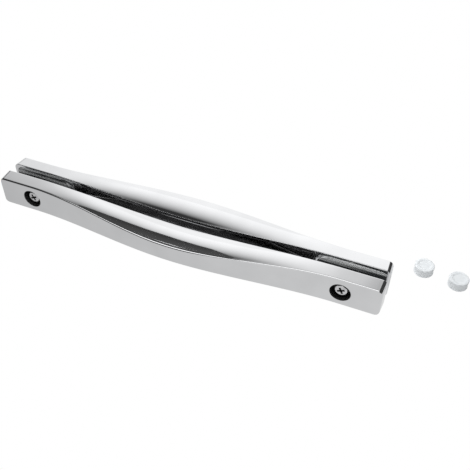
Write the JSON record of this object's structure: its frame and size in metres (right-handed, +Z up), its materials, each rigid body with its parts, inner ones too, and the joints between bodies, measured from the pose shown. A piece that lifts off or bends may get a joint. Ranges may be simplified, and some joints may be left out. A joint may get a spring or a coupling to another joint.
{
  "type": "double glass door pull handle",
  "caption": "Double-sided pull handle for a glass shower door: a matched pair of bow-shaped chromed bars clamped through the glass by screws, with loose plug covers.",
  "frame": {"origin": "middle of the glass thickness, halfway between the two screws, on the screws' axes", "axes": "+X along the bars, +Y from the front bar through the glass to the rear bar, +Z up as the bars stand on their long edges"},
  "size_m": [0.2867, 0.0606, 0.0198],
  "materials": {
    "chrome": "bright polished chrome plate",
    "steel": "bright zinc-plated steel",
    "brass": "turned brass",
    "clear_plastic": "soft clear plastic, slightly milky",
    "white_plastic": "white moulded plastic, satin"
  },
  "bodies": {
    "front": {"front_bar": "chrome", "front_left_pad": "clear_plastic", "front_right_pad": "clear_plastic", "left_sleeve": "clear_plastic", "right_sleeve": "clear_plastic", "left_washer": "steel", "right_washer": "steel"},
    "rear": {"rear_bar": "chrome", "rear_left_pad": "clear_plastic", "rear_right_pad": "clear_plastic", "left_insert": "brass", "right_insert": "brass"},
    "left_screw": {"left_screw": "steel"},
    "right_screw": {"right_screw": "steel"},
    "left_cover": {"left_cover": "white_plastic"},
    "right_cover": {"right_cover": "white_plastic"}
  },
  "joints": [
    {"name": "clamp", "type": "slide", "parent": "front", "child": "rear", "axis": [0, 1, 0], "range_m": [-0.001, 0.002]},
    {"name": "left_screw_turn", "type": "hinge", "parent": "front", "child": "left_screw", "pos_m": [-0.1, 0, 0], "axis": [0, 1, 0], "range_deg": [-1030, 515]},
    {"name": "right_screw_turn", "type": "hinge", "parent": "front", "child": "right_screw", "pos_m": [0.1, 0, 0], "axis": [0, 1, 0], "range_deg": [-1030, 515]},
    {"name": "left_cover_lift", "type": "slide", "parent": "front", "child": "left_cover", "axis": [0, 0, 1], "range_m": [0, 0.04]},
    {"name": "right_cover_lift", "type": "slide", "parent": "front", "child": "right_cover", "axis": [0, 0, 1], "range_m": [0, 0.04]}
  ],
  "couplings": [
    {"joint": "left_screw_turn", "follows": "clamp", "rad_per_m": -8976},
    {"joint": "right_screw_turn", "follows": "clamp", "rad_per_m": -8976}
  ]
}
